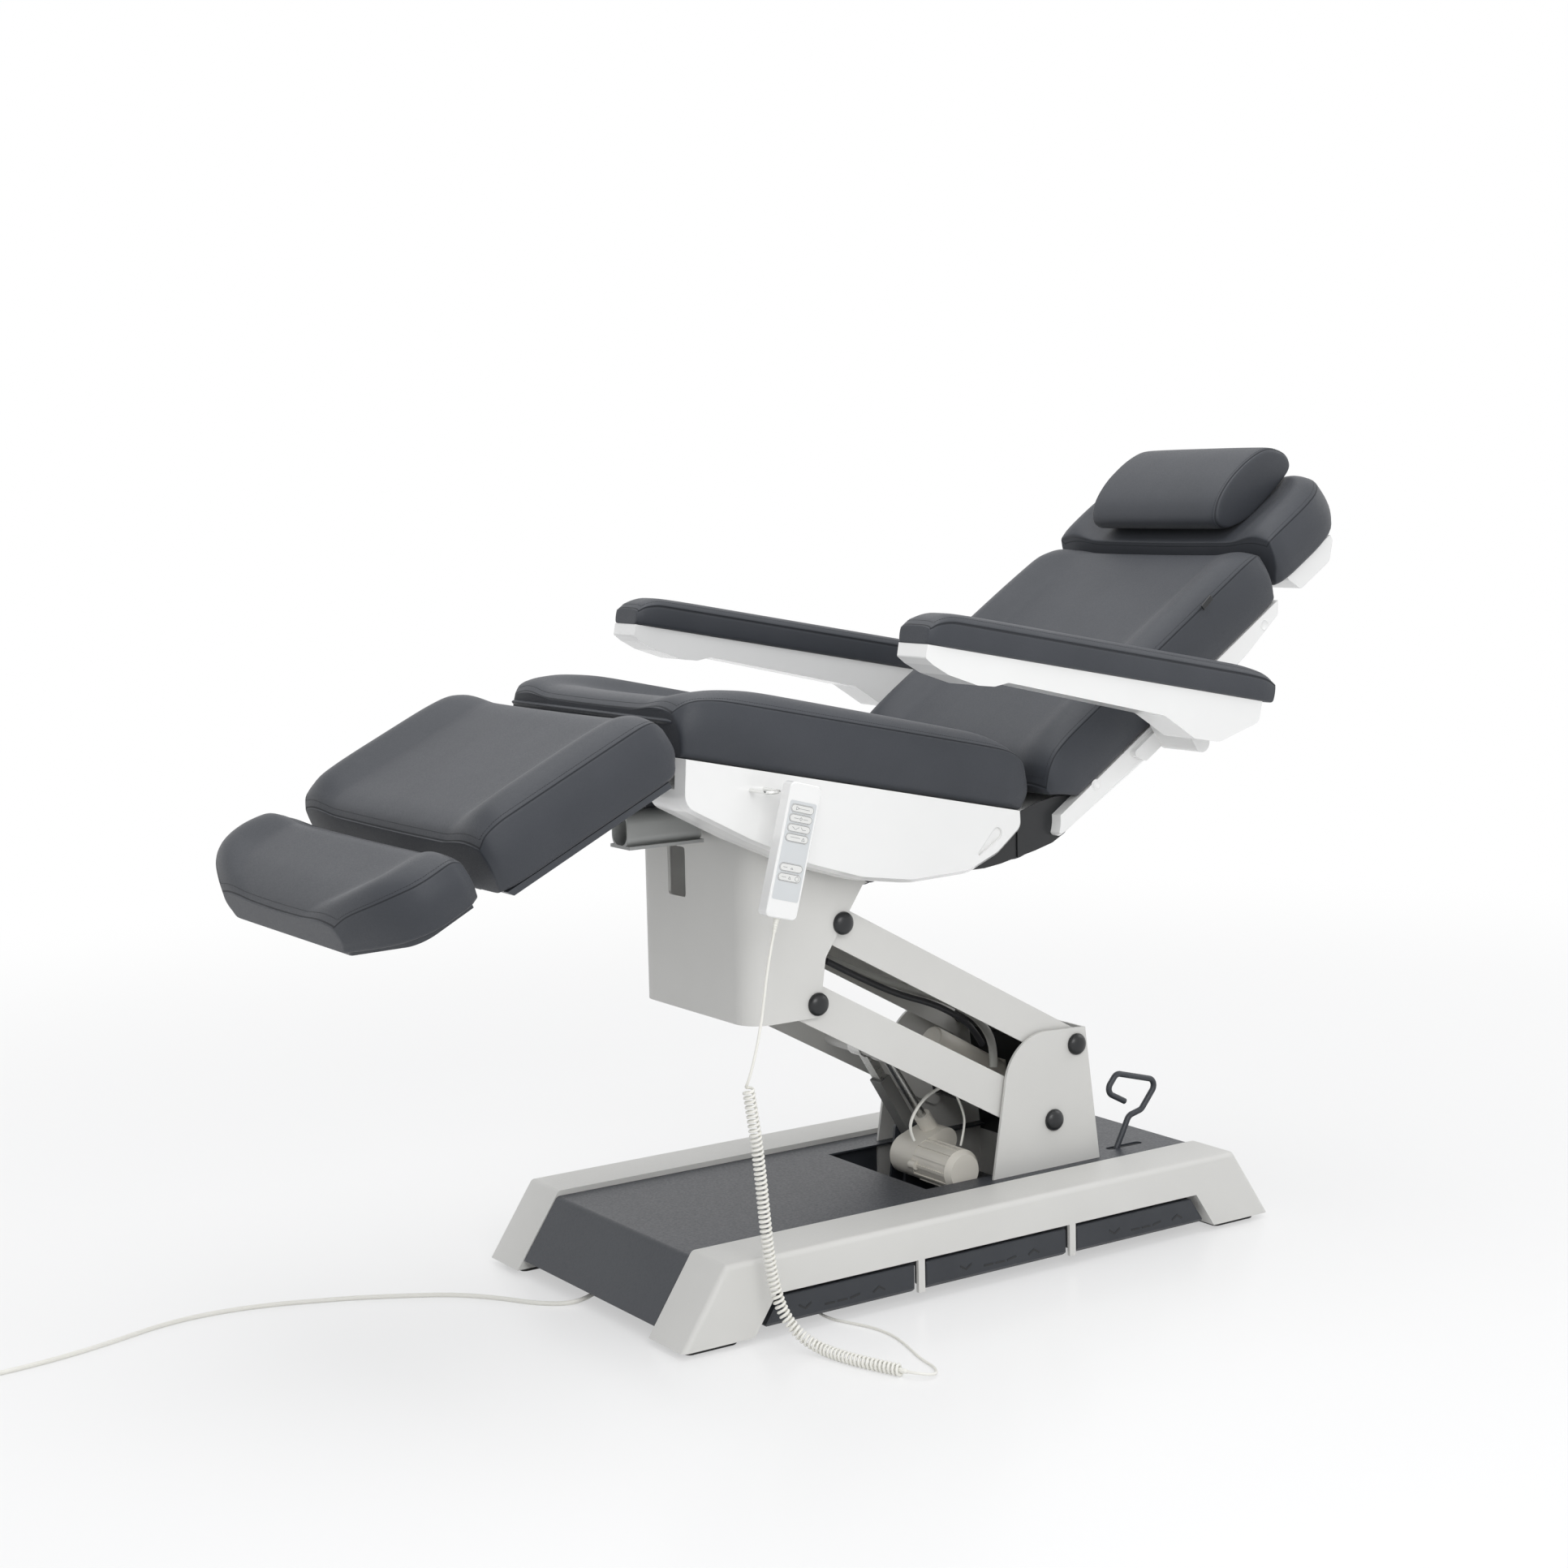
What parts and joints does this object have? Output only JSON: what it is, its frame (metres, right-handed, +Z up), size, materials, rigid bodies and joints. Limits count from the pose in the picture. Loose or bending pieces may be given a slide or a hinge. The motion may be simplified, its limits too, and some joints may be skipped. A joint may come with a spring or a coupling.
{
  "type": "treatment chair",
  "caption": "Powered treatment chair with a scissor-arm base, split cushions, hinged back and leg rests, armrests, foot pedals and a corded handset.",
  "frame": {"origin": "centre of the base's footprint on the floor", "axes": "+X towards the head end, +Y towards the far side of the chair (the handset is on the near side), +Z up"},
  "size_m": [2.3162, 1.0063, 1.2772],
  "materials": {
    "light_metal": "satin powder coat, light warm grey",
    "dark_metal": "satin powder coat, anthracite",
    "white_shell": "glossy moulded plastic, white",
    "upholstery": "matt leatherette, anthracite blue grey",
    "dark_plastic": "matt moulded plastic, anthracite",
    "grey_plastic": "matt moulded plastic, light grey",
    "motor_housing": "moulded housing, light beige",
    "chrome": "bright chrome",
    "shaft_steel": "turned steel under black caps",
    "rubber": "matt black rubber",
    "white_cord": "white cord sheath",
    "overlay": "matt light grey keys"
  },
  "bodies": {
    "base": {"rail_near": "light_metal", "rail_far": "light_metal", "pads_near": "rubber", "pads_far": "rubber", "base_cover": "dark_metal", "chassis": "dark_metal", "tower": "light_metal", "shaft_tower_lower": "shaft_steel", "shaft_tower_upper": "shaft_steel", "rear_drive": "motor_housing", "mains_cord": "white_cord", "mains_coil": "white_cord", "mains_plug": "white_cord", "handset_cord_tail": "white_cord"},
    "lower_link": {"lower_arm": "light_metal"},
    "upper_link": {"upper_arm": "light_metal"},
    "column": {"column_box": "light_metal", "shaft_box_lower": "shaft_steel", "shaft_box_upper": "shaft_steel", "shaft_tilt": "shaft_steel"},
    "seat": {"seat_frame": "dark_metal", "seat_cover": "white_shell", "seat_cushion": "upholstery", "leg_drive": "grey_plastic", "handset_hook": "chrome", "handset": "white_shell", "handset_cord": "white_cord"},
    "leg": {"leg_frame": "dark_metal", "leg_cushion": "upholstery"},
    "foot": {"foot_frame": "dark_metal", "foot_cushion": "upholstery"},
    "back": {"back_shell": "white_shell", "back_cushion": "upholstery", "armrest_bracket_near": "white_shell", "armrest_bracket_far": "white_shell"},
    "head": {"head_shell": "white_shell", "head_cushion": "upholstery", "pillow": "upholstery"},
    "armrest_near": {"armrest_frame_near": "white_shell", "armrest_pad_near": "upholstery"},
    "armrest_far": {"armrest_frame_far": "white_shell", "armrest_pad_far": "upholstery"},
    "drive": {"lift_drive": "motor_housing"},
    "drive_ram": {"lift_rod": "shaft_steel"},
    "prop": {"prop_sleeve": "dark_metal"},
    "prop_ram": {"prop_rod": "shaft_steel"},
    "lever": {"rear_lever": "dark_metal"},
    "pedal_near_foot": {"pedal_near_foot": "dark_plastic"},
    "pedal_near_middle": {"pedal_near_middle": "dark_plastic"},
    "pedal_near_head": {"pedal_near_head": "dark_plastic"},
    "pedal_far_foot": {"pedal_far_foot": "dark_plastic"},
    "pedal_far_middle": {"pedal_far_middle": "dark_plastic"},
    "pedal_far_head": {"pedal_far_head": "dark_plastic"},
    "button_1": {"button_1": "overlay"},
    "button_2": {"button_2": "overlay"},
    "button_3": {"button_3": "overlay"},
    "button_4": {"button_4": "overlay"},
    "button_5": {"button_5": "overlay"},
    "button_6": {"button_6": "overlay"}
  },
  "joints": [
    {"name": "lift", "type": "hinge", "parent": "base", "child": "lower_link", "pos_m": [0.225, 0, 0.197], "axis": [0, 1, 0], "range_deg": [-24, 16]},
    {"name": "lift_upper_link", "type": "hinge", "parent": "base", "child": "upper_link", "pos_m": [0.274, 0, 0.316], "axis": [0, 1, 0], "range_deg": [-24, 16]},
    {"name": "lift_column", "type": "hinge", "parent": "lower_link", "child": "column", "pos_m": [-0.23681, 0, 0.45088], "axis": [0, 1, 0], "range_deg": [-16, 24]},
    {"name": "lift_drive_swing", "type": "hinge", "parent": "base", "child": "drive", "pos_m": [0.151, 0, 0.084], "axis": [0, 1, 0], "range_deg": [-19.8, 13.2]},
    {"name": "lift_drive_stroke", "type": "slide", "parent": "drive", "child": "drive_ram", "axis": [-0.5472, 0, 0.837], "range_m": [-0.0541, 0.0361]},
    {"name": "prop_swing", "type": "hinge", "parent": "base", "child": "prop", "pos_m": [0.098, 0.06, 0.155], "axis": [0, 1, 0], "range_deg": [-29.4, 19.6]},
    {"name": "prop_stroke", "type": "slide", "parent": "prop", "child": "prop_ram", "axis": [-0.5224, 0, 0.8527], "range_m": [-0.0504, 0.0336]},
    {"name": "tilt", "type": "hinge", "parent": "column", "child": "seat", "pos_m": [-0.13501, 0, 0.64498], "axis": [0, 1, 0], "range_deg": [-10, 6]},
    {"name": "leg_rest", "type": "hinge", "parent": "seat", "child": "leg", "pos_m": [-0.54001, 0, 0.83811], "axis": [0, 1, 0], "range_deg": [-35, 34]},
    {"name": "foot_rest", "type": "slide", "parent": "leg", "child": "foot", "axis": [-0.8973, 0, -0.4415], "range_m": [-0.02, 0.12]},
    {"name": "backrest", "type": "hinge", "parent": "seat", "child": "back", "pos_m": [0.09498, 0, 0.7059], "axis": [0, -1, 0], "range_deg": [-45, 20]},
    {"name": "headrest", "type": "hinge", "parent": "back", "child": "head", "pos_m": [0.65298, 0, 1.03793], "axis": [0, -1, 0], "range_deg": [-25, 8]},
    {"name": "armrest_near_turn", "type": "hinge", "parent": "back", "child": "armrest_near", "pos_m": [0.35014, 0, 0.84784], "axis": [0, -1, 0], "range_deg": [-20, 45]},
    {"name": "armrest_far_turn", "type": "hinge", "parent": "back", "child": "armrest_far", "pos_m": [0.35014, 0, 0.84784], "axis": [0, -1, 0], "range_deg": [-20, 45]},
    {"name": "rear_lever_swing", "type": "hinge", "parent": "base", "child": "lever", "pos_m": [0.372, 0, 0.062], "axis": [0, 1, 0], "range_deg": [0, 25]},
    {"name": "pedal_near_foot_rock", "type": "hinge", "parent": "base", "child": "pedal_near_foot", "pos_m": [-0.28925, -0.277, 0.0405], "axis": [0, 1, 0], "range_deg": [-1.6, 1.6], "stiffness_Nm_per_rad": 4},
    {"name": "pedal_near_middle_rock", "type": "hinge", "parent": "base", "child": "pedal_near_middle", "pos_m": [0, -0.277, 0.0405], "axis": [0, 1, 0], "range_deg": [-1.6, 1.6], "stiffness_Nm_per_rad": 4},
    {"name": "pedal_near_head_rock", "type": "hinge", "parent": "base", "child": "pedal_near_head", "pos_m": [0.28925, -0.277, 0.0405], "axis": [0, 1, 0], "range_deg": [-1.6, 1.6], "stiffness_Nm_per_rad": 4},
    {"name": "pedal_far_foot_rock", "type": "hinge", "parent": "base", "child": "pedal_far_foot", "pos_m": [-0.28925, 0.277, 0.0405], "axis": [0, 1, 0], "range_deg": [-1.6, 1.6], "stiffness_Nm_per_rad": 4},
    {"name": "pedal_far_middle_rock", "type": "hinge", "parent": "base", "child": "pedal_far_middle", "pos_m": [0, 0.277, 0.0405], "axis": [0, 1, 0], "range_deg": [-1.6, 1.6], "stiffness_Nm_per_rad": 4},
    {"name": "pedal_far_head_rock", "type": "hinge", "parent": "base", "child": "pedal_far_head", "pos_m": [0.28925, 0.277, 0.0405], "axis": [0, 1, 0], "range_deg": [-1.6, 1.6], "stiffness_Nm_per_rad": 4},
    {"name": "button_1_press", "type": "slide", "parent": "seat", "child": "button_1", "axis": [0, 1, 0], "range_m": [0, 0.0012], "stiffness_N_per_m": 400, "springref_m": -0.0006},
    {"name": "button_2_press", "type": "slide", "parent": "seat", "child": "button_2", "axis": [0, 1, 0], "range_m": [0, 0.0012], "stiffness_N_per_m": 400, "springref_m": -0.0006},
    {"name": "button_3_press", "type": "slide", "parent": "seat", "child": "button_3", "axis": [0, 1, 0], "range_m": [0, 0.0012], "stiffness_N_per_m": 400, "springref_m": -0.0006},
    {"name": "button_4_press", "type": "slide", "parent": "seat", "child": "button_4", "axis": [0, 1, 0], "range_m": [0, 0.0012], "stiffness_N_per_m": 400, "springref_m": -0.0006},
    {"name": "button_5_press", "type": "slide", "parent": "seat", "child": "button_5", "axis": [0, 1, 0], "range_m": [0, 0.0012], "stiffness_N_per_m": 400, "springref_m": -0.0006},
    {"name": "button_6_press", "type": "slide", "parent": "seat", "child": "button_6", "axis": [0, 1, 0], "range_m": [0, 0.0012], "stiffness_N_per_m": 400, "springref_m": -0.0006}
  ],
  "couplings": [
    {"joint": "lift_upper_link", "follows": "lift", "ratio": 1},
    {"joint": "lift_column", "follows": "lift", "ratio": -1},
    {"joint": "lift_drive_swing", "follows": "lift", "ratio": 0.82},
    {"joint": "lift_drive_stroke", "follows": "lift", "m_per_rad": 0.129},
    {"joint": "prop_swing", "follows": "lift", "ratio": 1.22},
    {"joint": "prop_stroke", "follows": "lift", "m_per_rad": 0.12},
    {"joint": "armrest_near_turn", "follows": "backrest", "ratio": -1},
    {"joint": "armrest_far_turn", "follows": "backrest", "ratio": -1}
  ]
}
